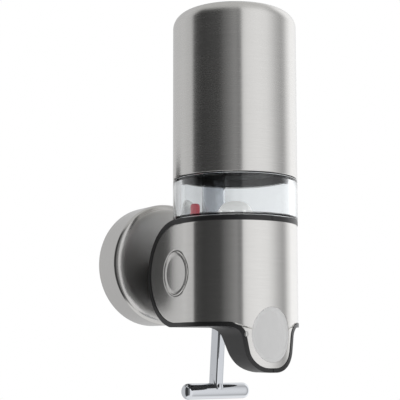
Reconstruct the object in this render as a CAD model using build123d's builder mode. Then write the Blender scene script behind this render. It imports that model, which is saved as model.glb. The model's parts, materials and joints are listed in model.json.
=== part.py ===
from build123d import *
import math
import os

os.makedirs("parts", exist_ok=True)

# Wall mounted soap dispenser.  Origin: centre of the wall plate's back, on the wall (y = 0).
# +X to the right as seen from the room, +Y into the wall, +Z up.  Millimetres.

# ------------------------------------------------------------------ driving dimensions
# body
body_radius = 37.0          # reservoir, cover and dark trim
body_reach = 100.0          # wall to the axis of the body
shell_top = 17.1            # top edge of the steel skin
cheek_height = 57.0         # height of the steel cheeks
button_behind = 8.0         # body axis to the centre of the round buttons
trim = 3.0                  # dark edge that shows above and behind the cheeks
trim_below = 2.5            # dark edge that shows below the cheeks and the nose
skin = 1.0                  # thickness of the steel skin
skin_sink = 0.3             # the skin lies this far inside the trim
skin_gap = 0.15             # clearance round and behind the skin
chassis_wall = 2.5
# nose
nose_drop = 25.9            # below the cheeks
nose_half_top = 16.7        # half width where the nose leaves the cheeks, before rounding
nose_half_bottom = 12.2     # half width at the tip, before rounding
nose_round = 9.3            # where the nose runs into the cheeks
nose_tip_round = 12.0
nose_depth_top = 9.6        # the nose's back lies this far in front of the body axis at its root
nose_depth_tip = 21.1       # and this far at its tip
nose_root_round = 10.0
nose_heel_round = 9.0
nose_wall = 2.7
# thumb pad
pad_width = 25.4
pad_height = 31.2
pad_thick = 0.8
pad_drop = 7.2              # bottom of the cheeks to the pad's centre
# buttons and latches
button_radius = 13.1
button_hole_gap = 0.3
button_thick = 4.9
button_proud = 0.6          # the button's rim stands this far outside the skin
button_travel = 2.5
button_dish = 1.6
button_round = 0.6
button_room = 0.6           # free depth behind a fully pressed button
stem_radius = 3.5
latch_height = 8.0
latch_thick = 2.0
hook_bite = 1.5             # how far a hook reaches into the wall of the socket
hook_reach = 8.0            # bracket's front to the back of the hooks
hook_length = 3.5
# reservoir
band_height = 24.2          # clear band that shows between cover and trim
jar_radius = 34.0
jar_wall = 2.0
jar_height = 118.0          # floor of the jar to its rim
floor_thick = 1.2
# cover
cover_height = 101.4
cover_wall = 1.0
cover_round = 8.7
cover_gap = 0.1             # cover over the shoulder of the jar
liner_height = 14.0
liner_wall = 1.3
# pump
barrel_radius = 10.0
barrel_bore = 8.0
barrel_length = 26.1
barrel_flange = 14.0
inlet_radius = 5.7          # threaded neck that stands up through the jar's floor
inlet_bore = 3.5
inlet_height = 6.9          # above the underside of the jar's floor
nut_radius = 8.2
nut_height = 3.0
dome_radius = 10.1
dome_height = 10.5
dome_wall = 1.5
vent_radius = 3.0
vent_height = 10.5
vent_x = -15.0
vent_y = 22.0               # behind the body axis
vent_tube_radius = 7.5
vent_tube_wall = 1.2
vent_tube_height = 96.0
vent_tube_gap = 0.5         # vent tube to the jar's wall
cap_thick = 1.0
cap_spigot = 2.0
piston_gap = 0.06
piston_height = 6.0
piston_rest = 15.1          # deck to the piston's top, at rest
seal_height = 2.0
seal_depth = 1.45
rod_radius = 2.5
rod_gap = 0.3
foot_radius = 6.0
foot_thick = 1.5
foot_gap = 0.15             # lever tip to the piston's foot, at rest
wire = 0.8
spring_radius = 4.2
spring_turns = 4
port_length = 6.0           # outlet port in front of the barrel
port_half = 4.0
tube_radius = 3.2
tube_bore = 2.0
tube_bend = 7.0
tube_reach = 28.0           # body axis to the outlet tube in the nose
spout_radius = 3.8
spout_flange = 4.6
spout_seat = 1.6            # pad that the spout's flange stands on
# lever
pivot_behind = 16.6         # body axis to the lever pin
pivot_drop = 13.6           # button centre to the lever pin
pin_radius = 2.0
pin_gap = 0.05
hub_radius = 5.5
hub_width = 8.0
stem_width = 5.2
stem_depth = 8.6
lever_swing = 22.0          # degrees
bar_behind = 21.8           # body axis to the axis of the pull bar
bar_drop = 55.0             # lever pin to the axis of the pull bar
bar_radius = 4.8
bar_length = 46.0
tip_radius = 3.0
# wall side
plate_radius = 39.4
plate_depth = 24.0
plate_wall = 1.2
plate_round = 3.5
pad_foam = 1.0
bracket_radius = 37.5
bracket_thick = 4.0
screw_spacing = 54.0
screw_hole = 2.4
neck_width = 24.0
neck_wall = 2.0
neck_flange = 2.5
flange_lip = 3.0
flange_trim = 1.0           # the flange's lips are lower than they are wide
flange_sink = 3.55          # inner face of the chassis wall to the flange
flange_clear = 1.66         # flange's edge to the round back of the chassis, inside
socket_gap = 0.3
socket_wall = 2.0

# ------------------------------------------------------------------ places worked out from them
axis_y = -body_reach
ring_top = shell_top + trim
cheek_bottom = shell_top - cheek_height
cheek_round = cheek_height / 2
button_z = shell_top - cheek_round
pad_centre_z = cheek_bottom - pad_drop
button_y = axis_y + button_behind
chassis_top = shell_top
chassis_bottom = cheek_bottom - trim_below
rear_round = cheek_round + trim
nose_tip = cheek_bottom - nose_drop
chassis_tip = nose_tip - trim_below
band_top = ring_top + band_height
floor_top = ring_top + floor_thick
jar_rim = floor_top + jar_height
cover_bottom = band_top + cover_gap
cover_top = band_top + cover_height
deck_bottom = chassis_top - trim
barrel_bottom = chassis_top - barrel_length
pivot_y = axis_y + pivot_behind
pivot_z = button_z - pivot_drop
bar_y = axis_y + bar_behind
bar_z = pivot_z - bar_drop
under_radius = body_radius - skin_sink - skin - skin_gap      # chassis under the skin
inner_radius = under_radius - chassis_wall
neck_flange_y = axis_y + inner_radius - flange_sink
flange_room = math.sqrt((rear_round - nose_wall)**2 - (neck_flange_y - button_y)**2)
neck_height = 2 * (flange_room - flange_clear - flange_lip) + flange_trim
plate_front = -plate_depth
bracket_front = -pad_foam - bracket_thick
hook_y = bracket_front - hook_reach
lean = math.degrees(math.atan2(bar_behind - pivot_behind, bar_drop))
barrel_top = chassis_top
piston_top = chassis_top - piston_rest
foot_bottom = pivot_z + tip_radius + foot_gap
tube_y = axis_y - tube_reach
port_z = piston_top + piston_height + 2.0
steel_radius = body_radius - skin_sink
button_back = steel_radius + button_proud - button_thick


# ------------------------------------------------------------------ shared shapes
def plan_block(radius):
    """Half disc in front of the body axis, straight sides behind it, over the whole height."""
    with BuildPart() as block:
        with BuildSketch(Plane.XY.offset(chassis_tip - trim)):
            with Locations((0, axis_y)):
                Circle(radius)
            with Locations((0, axis_y + body_radius)):
                Rectangle(2 * radius, 2 * body_radius)
        extrude(amount=ring_top - chassis_tip + 2 * trim)
    return block.part


def cheek_block(radius, bottom, top):
    """Side view of the cheeks, right across the body: straight front, half round back."""
    front = axis_y - 2 * body_radius
    with BuildPart() as block:
        with BuildSketch(Plane.YZ):
            with BuildLine():
                Polyline((button_y, button_z - radius), (front, button_z - radius),
                         (front, button_z + radius), (button_y, button_z + radius))
                ThreePointArc((button_y, button_z + radius), (button_y + radius, button_z),
                              (button_y, button_z - radius))
            make_face()
        extrude(amount=2 * body_radius, both=True)
        with BuildSketch(Plane.XY.offset(bottom)):
            Rectangle(8 * body_radius, 8 * body_reach)
        extrude(amount=top - bottom, mode=Mode.INTERSECT)
    return block.part


def tongue_block(grow):
    """Front view of the nose, grown outwards; it runs into the cheeks' bottom edge."""
    slope = (nose_half_top - nose_half_bottom) / nose_drop
    side = grow * math.sqrt(1 + slope**2)
    shoulder = cheek_bottom - grow
    half_top = nose_half_top + side - slope * grow
    half_tip = nose_half_bottom + side - slope * grow
    tip = nose_tip - grow
    out = body_radius + 2 * nose_round
    with BuildPart() as block:
        with BuildSketch(Plane.XZ.offset(-axis_y)):
            with BuildLine():
                FilletPolyline(
                    (-out, shoulder),
                    (-half_top, shoulder),
                    (-half_tip, tip),
                    (half_tip, tip),
                    (half_top, shoulder),
                    (out, shoulder),
                    radius=[nose_round - grow, nose_tip_round + grow,
                            nose_tip_round + grow, nose_round - grow],
                )
                Polyline((-out, shoulder), (-out, button_z), (out, button_z), (out, shoulder))
            make_face()
        extrude(amount=2 * body_radius)
    return block.part


def heel_block(shrink):
    """Side view of the nose: its back sweeps down and forward from the bottom of the body."""
    front = axis_y - 2 * body_radius
    slope = (nose_depth_tip - nose_depth_top) / (chassis_bottom - chassis_tip)
    side = shrink * math.sqrt(1 + slope**2)
    root_z = chassis_bottom + shrink
    heel_z = chassis_tip + shrink
    root_y = axis_y - nose_depth_top + slope * shrink - side
    heel_y = axis_y - nose_depth_tip + slope * shrink - side
    with BuildPart() as block:
        with BuildSketch(Plane.YZ):
            with BuildLine():
                FilletPolyline(
                    (axis_y + body_radius, root_z),
                    (root_y, root_z),
                    (heel_y, heel_z),
                    (front, heel_z),
                    radius=[nose_root_round + shrink, nose_heel_round - shrink],
                )
                Polyline((front, heel_z), (front, button_z), (axis_y + body_radius, button_z),
                         (axis_y + body_radius, root_z))
            make_face()
        extrude(amount=2 * body_radius, both=True)
    return block.part


def skin_block(grow):
    """The outline, from the front and the side, of everything that the steel skin covers."""
    sides = cheek_block(cheek_round + grow, cheek_bottom - grow, shell_top)
    nose = tongue_block(grow)
    with BuildPart() as block:
        add(sides)
        add(nose)
    return block.part


def chassis_block(inset):
    """The outside of the chassis, or its inside when inset by the wall."""
    radius = body_radius if inset == 0 else inner_radius
    sides = cheek_block(rear_round - inset, chassis_bottom + inset, ring_top - 2 * inset)
    nose = tongue_block(trim_below - inset)
    heel = heel_block(inset)
    plan = plan_block(radius)
    with BuildPart() as block:
        add(nose)
        add(heel, mode=Mode.INTERSECT)
        add(sides)
        add(plan, mode=Mode.INTERSECT)
    return block.part


def disc(plane, radius, length, bore=0.0):
    """Round solid that stands on a plane, with an optional bore."""
    with BuildPart() as piece:
        with BuildSketch(plane):
            Circle(radius)
            if bore > 0:
                Circle(bore, mode=Mode.SUBTRACT)
        extrude(amount=length)
    return piece.part


def across(x, y, z):
    """Plane at x, facing +X, with its origin at (y, z)."""
    return Plane(origin=(x, y, z), x_dir=(0, 1, 0), z_dir=(1, 0, 0))


def upright(x, y, z):
    """Plane at z, facing +Z."""
    return Plane(origin=(x, y, z))


def facing_room(x, y, z):
    """Plane at y, facing the room."""
    return Plane(origin=(x, y, z), x_dir=(1, 0, 0), z_dir=(0, -1, 0))


def save(piece, name):
    """Name a finished piece and write it."""
    piece.label = name
    export_step(piece, f"parts/{name}.step")


# ------------------------------------------------------------------ wall side
screw_spots = [(-screw_spacing / 2, 0), (screw_spacing / 2, 0)]

with BuildPart() as wall_pad:
    with BuildSketch(facing_room(0, 0, 0)):
        Circle(bracket_radius)
        with Locations(*screw_spots):
            Circle(2 * screw_hole, mode=Mode.SUBTRACT)
    extrude(amount=pad_foam)
save(wall_pad.part, "wall_pad")

socket_width = neck_width + 2 * socket_gap
socket_height = neck_height + 2 * socket_gap
socket_front = plate_front + plate_wall
window_gap = 0.5

with BuildPart() as wall_bracket:
    with BuildSketch(facing_room(0, -pad_foam, 0)):
        Circle(bracket_radius)
        with Locations(*screw_spots):
            Circle(screw_hole, mode=Mode.SUBTRACT)
    extrude(amount=bracket_thick)
    with BuildSketch(facing_room(0, bracket_front, button_z)):
        Rectangle(socket_width + 2 * socket_wall, socket_height + 2 * socket_wall)
        Rectangle(socket_width, socket_height, mode=Mode.SUBTRACT)
    extrude(amount=bracket_front - socket_front)
    # windows in the socket's sides that the hooks catch in
    with BuildSketch(Plane.YZ):
        with Locations((hook_y - hook_length / 2, button_z)):
            Rectangle(hook_length + 2 * window_gap, latch_height + 2 * window_gap)
    extrude(amount=neck_width, both=True, mode=Mode.SUBTRACT)
save(wall_bracket.part, "wall_bracket")

plate_lift = 0.6
with BuildPart() as wall_plate:
    with BuildSketch(facing_room(0, -plate_lift, 0)):
        Circle(plate_radius)
    extrude(amount=plate_depth - plate_lift)
    fillet(wall_plate.edges().group_by(Axis.Y)[0], radius=plate_round)
    offset(amount=-plate_wall, openings=wall_plate.faces().sort_by(Axis.Y)[-1])
    with BuildSketch(facing_room(0, 0, button_z)):
        Rectangle(socket_width + 2 * socket_gap, socket_height + 2 * socket_gap)
    extrude(amount=2 * plate_depth, mode=Mode.SUBTRACT)
save(wall_plate.part, "wall_plate")

neck_end_gap = 1.0
neck_back = bracket_front - neck_end_gap

with BuildPart() as neck:
    with BuildSketch(facing_room(0, neck_back, button_z)):
        Rectangle(neck_width, neck_height)
    extrude(amount=neck_back - neck_flange_y)
    with BuildSketch(facing_room(0, neck_flange_y, button_z)):
        Rectangle(neck_width + 2 * flange_lip, neck_height + 2 * flange_lip - flange_trim)
    extrude(amount=neck_flange)
    with BuildSketch(facing_room(0, 0, button_z)):
        Rectangle(neck_width - 2 * neck_wall, neck_height - 2 * neck_wall)
    extrude(amount=2 * body_reach, mode=Mode.SUBTRACT)
    with BuildSketch(Plane.YZ):
        with Locations((hook_y - hook_length / 2, button_z)):
            Rectangle(hook_length + 2 * window_gap, latch_height + 2 * window_gap)
    extrude(amount=neck_width, both=True, mode=Mode.SUBTRACT)
save(neck.part, "neck")

# ------------------------------------------------------------------ chassis
boss_radius = 4.5
screw_radius = 1.5
screw_head_radius = 2.8
screw_head_height = 2.0
screw_reach = 8.0           # seam to the underside of a screw head
screw_clearance = 0.05
upper_boss_front = 15.5     # in front of the body axis
upper_boss_z = -5.0
lower_boss_front = 13.0
lower_boss_rise = 8.4       # above the bottom of the chassis
rear_boss_front = 0.6       # in front of the lever pin
rear_boss_z = 8.0
boss_spots = [
    (axis_y - upper_boss_front, upper_boss_z),
    (axis_y - lower_boss_front, chassis_bottom + lower_boss_rise),
    (pivot_y - rear_boss_front, rear_boss_z),
]
bush_thick = 1.8
bush_gap = 0.2
pin_reach = 14.0
boss_inner = hub_width / 2 + bush_gap + bush_thick
rib_inner = 20.0
rib_thick = 2.0
rib_half = 8.0
rib_margin = 1.0            # the stem holes are cut this far past the ribs
stem_gap = 0.4
frame_margin = 1.0          # the frame stands this far outside the neck's flange
seat_margin = 0.2
spout_gap = 0.1

cavity = chassis_block(nose_wall)
with BuildPart() as hollow:
    add(cavity)
    with BuildSketch(Plane.XY.offset(deck_bottom)):
        Rectangle(8 * body_radius, 8 * body_reach)
    extrude(amount=4 * trim, mode=Mode.SUBTRACT)
    # screw bosses that meet at the seam
    with BuildSketch(Plane.YZ):
        with Locations(*boss_spots):
            Circle(boss_radius)
    extrude(amount=body_radius, both=True, mode=Mode.SUBTRACT)
    # bosses of the lever pin, and ribs that guide the button stems
    for way in (-1, 1):
        with BuildSketch(across(way * boss_inner, pivot_y, pivot_z)):
            Circle(boss_radius)
        extrude(amount=way * body_radius, mode=Mode.SUBTRACT)
        with BuildSketch(Plane.YZ.offset(way * rib_inner)):
            with Locations((button_y, button_z)):
                Rectangle(2 * rib_half, 4 * cheek_round)
        extrude(amount=way * rib_thick, mode=Mode.SUBTRACT)
    # frame that the neck's flange bears on
    with BuildSketch(facing_room(0, axis_y + 2 * body_radius, button_z)):
        Rectangle(neck_width + 2 * flange_lip + 2 * frame_margin,
                      neck_height + 2 * flange_lip + 2 * frame_margin)
    extrude(amount=axis_y + 2 * body_radius - neck_flange_y, mode=Mode.SUBTRACT)
    # pad under the spout's flange
    with BuildSketch(upright(0, tube_y, chassis_tip)):
        Circle(spout_flange + seat_margin)
    extrude(amount=nose_wall + spout_seat, mode=Mode.SUBTRACT)

outside = chassis_block(0)
skin_outline = skin_block(skin_gap)
skin_core = plan_block(under_radius)
pin_hole_gap = 0.02
button_hole = button_radius + button_hole_gap
stem_drop = pivot_z - chassis_bottom
swing_angle = math.radians(lever_swing - lean)
slot_gap = 1.2
slot_rear = pivot_y + stem_drop * math.tan(math.radians(lean)) + stem_depth / 2 + slot_gap
slot_front = pivot_y - stem_drop * math.tan(swing_angle) - stem_depth / 2 / math.cos(swing_angle) - slot_gap

with BuildPart() as pocket:
    add(skin_outline)
    add(skin_core, mode=Mode.SUBTRACT)

with BuildPart() as chassis:
    add(outside)
    add(hollow.part, mode=Mode.SUBTRACT)
    add(pocket.part, mode=Mode.SUBTRACT)
    # seat of the black ring, and the hole for the pump
    with BuildSketch(upright(0, axis_y, chassis_top)):
        Circle(body_radius + screw_clearance)
    extrude(amount=4 * trim, mode=Mode.SUBTRACT)
    with BuildSketch(upright(0, axis_y, button_z)):
        Circle(barrel_radius + rod_gap)
    extrude(amount=ring_top - button_z, mode=Mode.SUBTRACT)
    # opening for the neck
    with BuildSketch(facing_room(0, axis_y + 2 * body_radius, button_z)):
        Rectangle(neck_width + 2 * skin_gap, neck_height + 2 * skin_gap)
    extrude(amount=axis_y + 2 * body_radius - neck_flange_y, mode=Mode.SUBTRACT)
    # slot for the lever, and the spout's hole
    with BuildSketch(upright(0, (slot_rear + slot_front) / 2, chassis_bottom)):
        Rectangle(stem_width + 2 * slot_gap, slot_rear - slot_front)
    extrude(amount=4 * nose_wall, both=True, mode=Mode.SUBTRACT)
    with BuildSketch(upright(0, tube_y, chassis_tip - trim)):
        Circle(spout_radius + spout_gap)
    extrude(amount=nose_wall + 2 * trim, mode=Mode.SUBTRACT)
    for way in (-1, 1):
        # button holes, stem holes in the ribs, blind holes for the lever pin
        with BuildSketch(across(way * (button_back - button_travel - button_room), button_y, button_z)):
            Circle(button_hole)
        extrude(amount=way * 4 * trim, mode=Mode.SUBTRACT)
        with BuildSketch(across(way * (rib_inner - rib_margin), button_y, button_z)):
            Circle(stem_radius + stem_gap)
        extrude(amount=way * (rib_thick + 2 * rib_margin), mode=Mode.SUBTRACT)
        with BuildSketch(across(way * boss_inner, pivot_y, pivot_z)):
            Circle(pin_radius + pin_hole_gap)
        extrude(amount=way * (pin_reach - boss_inner), mode=Mode.SUBTRACT)
    # screw holes, with the heads let into the right half
    with BuildSketch(Plane.YZ.offset(-screw_reach)):
        with Locations(*boss_spots):
            Circle(screw_radius + screw_clearance)
    extrude(amount=2 * screw_reach, mode=Mode.SUBTRACT)
    with BuildSketch(Plane.YZ.offset(screw_reach)):
        with Locations(*boss_spots):
            Circle(screw_head_radius + 2 * screw_clearance)
    extrude(amount=2 * body_radius, mode=Mode.SUBTRACT)

with BuildPart() as chassis_left:
    add(chassis.part)
    split(bisect_by=Plane.YZ, keep=Keep.BOTTOM)
save(chassis_left.part, "chassis_left")

with BuildPart() as chassis_right:
    add(chassis.part)
    split(bisect_by=Plane.YZ, keep=Keep.TOP)
save(chassis_right.part, "chassis_right")

with BuildPart() as chassis_screws:
    with BuildSketch(Plane.YZ.offset(-screw_reach)):
        with Locations(*boss_spots):
            Circle(screw_radius)
    extrude(amount=2 * screw_reach)
    with BuildSketch(Plane.YZ.offset(screw_reach)):
        with Locations(*boss_spots):
            Circle(screw_head_radius)
    extrude(amount=screw_head_height)
save(chassis_screws.part, "chassis_screws")

# ------------------------------------------------------------------ steel skin and thumb pad
skin_outer = plan_block(steel_radius)
skin_inner = plan_block(steel_radius - skin)
skin_shape = skin_block(0)

with BuildPart() as body_shell:
    add(skin_outer)
    add(skin_inner, mode=Mode.SUBTRACT)
    add(skin_shape, mode=Mode.INTERSECT)
    with BuildSketch(across(-2 * body_radius, button_y, button_z)):
        Circle(button_hole)
    extrude(amount=4 * body_radius, mode=Mode.SUBTRACT)
    with BuildSketch(facing_room(0, axis_y, pad_centre_z)):
        Ellipse(pad_width / 2 + skin_gap, pad_height / 2 + skin_gap)
    extrude(amount=2 * body_radius, mode=Mode.SUBTRACT)
save(body_shell.part, "body_shell")

pad_outer = plan_block(steel_radius - skin + pad_thick)
with BuildPart() as thumb_pad:
    with BuildSketch(facing_room(0, axis_y, pad_centre_z)):
        Ellipse(pad_width / 2, pad_height / 2)
    extrude(amount=2 * body_radius)
    add(pad_outer, mode=Mode.INTERSECT)
    add(skin_inner, mode=Mode.SUBTRACT)
save(thumb_pad.part, "thumb_pad")

# ------------------------------------------------------------------ reservoir
ring_width = 7.0
ring_bore = body_radius - ring_width
gasket_gap = 2.0            # pump flange to the gasket's bore
save(disc(upright(0, axis_y, chassis_top), body_radius, trim, ring_bore), "top_ring")
save(disc(upright(0, axis_y, chassis_top), ring_bore - skin_gap, trim, barrel_flange + gasket_gap),
     "reservoir_gasket")

band_wall = 4.6
jar_bore = jar_radius - jar_wall
band_bore = body_radius - band_wall
jar_rim_round = 0.9
with BuildPart() as reservoir:
    with BuildSketch(Plane.XZ.offset(-axis_y)):
        with BuildLine():
            Polyline(
                (inlet_radius + rod_gap, ring_top),
                (body_radius, ring_top),
                (body_radius, band_top),
                (jar_radius, band_top),
                (jar_radius, jar_rim),
                (jar_bore, jar_rim),
                (jar_bore, band_top),
                (band_bore, band_top - band_wall),
                (band_bore, floor_top),
                (inlet_radius + rod_gap, floor_top),
                close=True,
            )
        make_face()
    revolve(axis=Axis((0, axis_y, 0), (0, 0, 1)))
    fillet(reservoir.edges().group_by(Axis.Z)[-1], radius=jar_rim_round)
    with BuildSketch(upright(vent_x, axis_y + vent_y, ring_top)):
        Circle(vent_radius / 2 + skin_gap)
    extrude(amount=2 * floor_thick, mode=Mode.SUBTRACT)
save(reservoir.part, "reservoir")

with BuildPart() as vent_valve:
    with BuildSketch(upright(vent_x, axis_y + vent_y, ring_top)):
        Circle(vent_radius / 2)
    extrude(amount=floor_thick)
    with BuildSketch(upright(vent_x, axis_y + vent_y, floor_top)):
        Circle(vent_radius)
    extrude(amount=vent_height)
    fillet(vent_valve.edges().group_by(Axis.Z)[-1], radius=vent_radius / 2)
save(vent_valve.part, "vent_valve")

vent_tube_y = axis_y + jar_bore - vent_tube_gap - vent_tube_radius
save(disc(upright(0, vent_tube_y, floor_top), vent_tube_radius, vent_tube_height,
          vent_tube_radius - vent_tube_wall), "vent_tube")

nut_gap = 0.05
with BuildPart() as reservoir_nut:
    with BuildSketch(upright(0, axis_y, floor_top)):
        RegularPolygon(nut_radius, 6)
        Circle(inlet_radius + nut_gap, mode=Mode.SUBTRACT)
    extrude(amount=nut_height)
save(reservoir_nut.part, "reservoir_nut")

slot_width = 2.5
slot_height = 3.0
with BuildPart() as intake_dome:
    with BuildSketch(upright(0, axis_y, floor_top)):
        Circle(dome_radius)
    extrude(amount=dome_height)
    fillet(intake_dome.edges().group_by(Axis.Z)[-1], radius=dome_height - 2 * dome_wall)
    offset(amount=-dome_wall, openings=intake_dome.faces().sort_by(Axis.Z)[0])
    with BuildSketch(upright(0, axis_y, floor_top)):
        with PolarLocations(dome_radius, 8):
            Rectangle(3 * dome_wall, slot_width)
    extrude(amount=slot_height, mode=Mode.SUBTRACT)
save(intake_dome.part, "intake_dome")

# ------------------------------------------------------------------ cover
with BuildPart() as top_cover:
    with BuildSketch(upright(0, axis_y, cover_bottom)):
        Circle(body_radius)
    extrude(amount=cover_top - cover_bottom)
    fillet(top_cover.edges().group_by(Axis.Z)[-1], radius=cover_round)
    offset(amount=-cover_wall, openings=top_cover.faces().sort_by(Axis.Z)[0])
save(top_cover.part, "top_cover")

liner_gap = 0.05            # liner in the cover
seal_gap = 0.3              # seal round the jar
seal_bed = 0.6              # depth of the seal's groove in the liner
liner_outer = body_radius - cover_wall - liner_gap
seal_inner = jar_radius + seal_gap
seal_outer = liner_outer - seal_bed
liner_bore = liner_outer - liner_wall
with BuildPart() as cover_liner:
    with BuildSketch(upright(0, axis_y, cover_bottom)):
        Circle(liner_outer)
        Circle(liner_bore, mode=Mode.SUBTRACT)
    extrude(amount=liner_height)
    with BuildSketch(upright(0, axis_y, cover_bottom + liner_height / 2)):
        Circle(seal_outer)
    extrude(amount=seal_height, mode=Mode.SUBTRACT)
save(cover_liner.part, "cover_liner")
save(disc(upright(0, axis_y, cover_bottom + liner_height / 2), seal_outer, seal_height, seal_inner),
     "cover_seal")

# ------------------------------------------------------------------ pump
port_front = axis_y - barrel_radius - port_length
port_wall = 1.0
valve_radius = port_half - port_wall
valve_length = 3.0
with BuildPart() as pump_cylinder:
    with BuildSketch(upright(0, axis_y, barrel_top)):
        Circle(barrel_flange)
    extrude(amount=trim)
    with BuildSketch(upright(0, axis_y, ring_top)):
        Circle(inlet_radius)
    extrude(amount=inlet_height)
    with BuildSketch(upright(0, axis_y, barrel_bottom)):
        Circle(barrel_radius)
    extrude(amount=barrel_length)
    with BuildSketch(facing_room(0, axis_y, port_z)):
        Rectangle(2 * port_half, 2 * port_half)
    extrude(amount=barrel_radius + port_length)
    with BuildSketch(upright(0, axis_y, barrel_bottom)):
        Circle(barrel_bore)
    extrude(amount=barrel_length - trim, mode=Mode.SUBTRACT)
    with BuildSketch(upright(0, axis_y, barrel_bottom)):
        Circle(inlet_bore)
    extrude(amount=2 * body_radius, mode=Mode.SUBTRACT)
    with BuildSketch(facing_room(0, axis_y, port_z)):
        Circle(tube_bore)
    extrude(amount=body_radius, mode=Mode.SUBTRACT)
    with BuildSketch(facing_room(0, port_front + valve_length, port_z)):
        Circle(valve_radius + nut_gap)
    extrude(amount=body_radius, mode=Mode.SUBTRACT)
save(pump_cylinder.part, "pump_cylinder")
save(disc(facing_room(0, port_front + valve_length, port_z), valve_radius, valve_length, tube_bore / 2),
     "outlet_valve")

flap_lip = 2.0
flap_radius = inlet_bore + flap_lip
flap_thick = 1.2
with BuildPart() as inlet_valve:
    with BuildSketch(upright(0, axis_y, deck_bottom - flap_thick)):
        Circle(flap_radius)
    extrude(amount=flap_thick)
    with BuildSketch(upright(0, axis_y, deck_bottom)):
        Circle(inlet_bore / 3)
    extrude(amount=2 * trim)
save(inlet_valve.part, "inlet_valve")

with BuildPart() as cylinder_cap:
    with BuildSketch(upright(0, axis_y, barrel_bottom - cap_thick)):
        Circle(barrel_radius)
    extrude(amount=cap_thick)
    with BuildSketch(upright(0, axis_y, barrel_bottom)):
        Circle(barrel_bore - nut_gap)
    extrude(amount=cap_spigot)
    with BuildSketch(upright(0, axis_y, barrel_bottom - cap_thick)):
        Circle(rod_radius + rod_gap)
    extrude(amount=2 * barrel_radius, mode=Mode.SUBTRACT)
save(cylinder_cap.part, "cylinder_cap")

seal_bottom = piston_top - piston_height / 2 - seal_height / 2
piston_radius = barrel_bore - piston_gap
with BuildPart() as piston:
    with BuildSketch(upright(0, axis_y, piston_top)):
        Circle(piston_radius)
    extrude(amount=-piston_height)
    with BuildSketch(upright(0, axis_y, seal_bottom)):
        Circle(body_radius)
        Circle(piston_radius - seal_depth, mode=Mode.SUBTRACT)
    extrude(amount=seal_height, mode=Mode.SUBTRACT)
    with BuildSketch(upright(0, axis_y, foot_bottom)):
        Circle(rod_radius)
    extrude(amount=piston_top - piston_height - foot_bottom)
    with BuildSketch(upright(0, axis_y, foot_bottom)):
        Circle(foot_radius)
    extrude(amount=foot_thick)
save(piston.part, "piston")
save(disc(upright(0, axis_y, seal_bottom), piston_radius, seal_height, piston_radius - seal_depth),
     "piston_seal")

spring_end_gap = 0.05
spring_low = foot_bottom + foot_thick + wire / 2 + spring_end_gap
spring_high = barrel_bottom - cap_thick - wire / 2 - spring_end_gap
spring_pitch = (spring_high - spring_low) / spring_turns
with BuildPart() as return_spring:
    with BuildLine():
        coil = Helix(spring_pitch, spring_high - spring_low, spring_radius, center=(0, axis_y, spring_low))
    with BuildSketch(Plane(origin=coil @ 0, z_dir=coil % 0)):
        Circle(wire / 2)
    sweep(is_frenet=True)
save(return_spring.part, "return_spring")

# ------------------------------------------------------------------ outlet in the nose
seat_z = chassis_tip + nose_wall + spout_seat
spout_collar = 1.5
spout_sink = 0.3            # the spout's mouth lies this far inside the nose
barb_height = 5.0
barb_radius = tube_bore - nut_gap
barb_bore = 1.1
with BuildPart() as outlet_tube:
    with BuildLine():
        FilletPolyline(
            (0, port_front, port_z),
            (0, tube_y, port_z),
            (0, tube_y, seat_z + spout_collar),
            radius=tube_bend,
        )
    with BuildSketch(facing_room(0, port_front, port_z)):
        Circle(tube_radius)
        Circle(tube_bore, mode=Mode.SUBTRACT)
    sweep()
save(outlet_tube.part, "outlet_tube")

with BuildPart() as spout:
    with BuildSketch(upright(0, tube_y, chassis_tip + spout_sink)):
        Circle(spout_radius)
    extrude(amount=seat_z - chassis_tip - spout_sink)
    with BuildSketch(upright(0, tube_y, seat_z)):
        Circle(spout_flange)
    extrude(amount=spout_collar)
    with BuildSketch(upright(0, tube_y, seat_z + spout_collar)):
        Circle(barb_radius)
    extrude(amount=barb_height)
    with BuildSketch(upright(0, tube_y, chassis_tip)):
        Circle(barb_bore)
    extrude(amount=body_radius, mode=Mode.SUBTRACT)
save(spout.part, "spout")

# ------------------------------------------------------------------ lever
stem_plane = Plane(origin=(0, pivot_y, pivot_z), x_dir=(1, 0, 0),
                   z_dir=(0, bar_y - pivot_y, bar_z - pivot_z))
stem_past_bar = 1.5         # beyond the bar's axis
stem_round = 1.0
stem_length = math.hypot(bar_y - pivot_y, bar_z - pivot_z) + stem_past_bar
arm_width = 5.0
arm_height = 5.0

with BuildPart() as stem:
    with BuildSketch(stem_plane):
        Rectangle(stem_width, stem_depth)
    extrude(amount=stem_length)
    fillet(stem.edges().filter_by(GeomType.LINE).group_by(Edge.length)[-1], radius=stem_round)

with BuildPart() as pull_lever:
    add(stem.part)
    with BuildSketch(across(-hub_width / 2, pivot_y, pivot_z)):
        Circle(hub_radius)
    extrude(amount=hub_width)
    with BuildSketch(across(-arm_width / 2, (pivot_y + axis_y) / 2, pivot_z)):
        Rectangle(pivot_behind, arm_height)
    extrude(amount=arm_width)
    with BuildSketch(across(-arm_width / 2, axis_y, pivot_z)):
        Circle(tip_radius)
    extrude(amount=arm_width)
    with BuildSketch(across(-hub_width, pivot_y, pivot_z)):
        Circle(pin_radius + pin_gap)
    extrude(amount=2 * hub_width, mode=Mode.SUBTRACT)
save(pull_lever.part, "pull_lever")

bar_end_round = 3.4
with BuildPart() as pull_bar:
    with BuildSketch(across(-bar_length / 2, bar_y, bar_z)):
        Circle(bar_radius)
    extrude(amount=bar_length)
    fillet(pull_bar.edges().filter_by(GeomType.CIRCLE), radius=bar_end_round)
    add(stem.part, mode=Mode.SUBTRACT)
save(pull_bar.part, "pull_bar")

save(disc(across(-pin_reach, pivot_y, pivot_z), pin_radius, 2 * pin_reach), "lever_pin")

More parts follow.
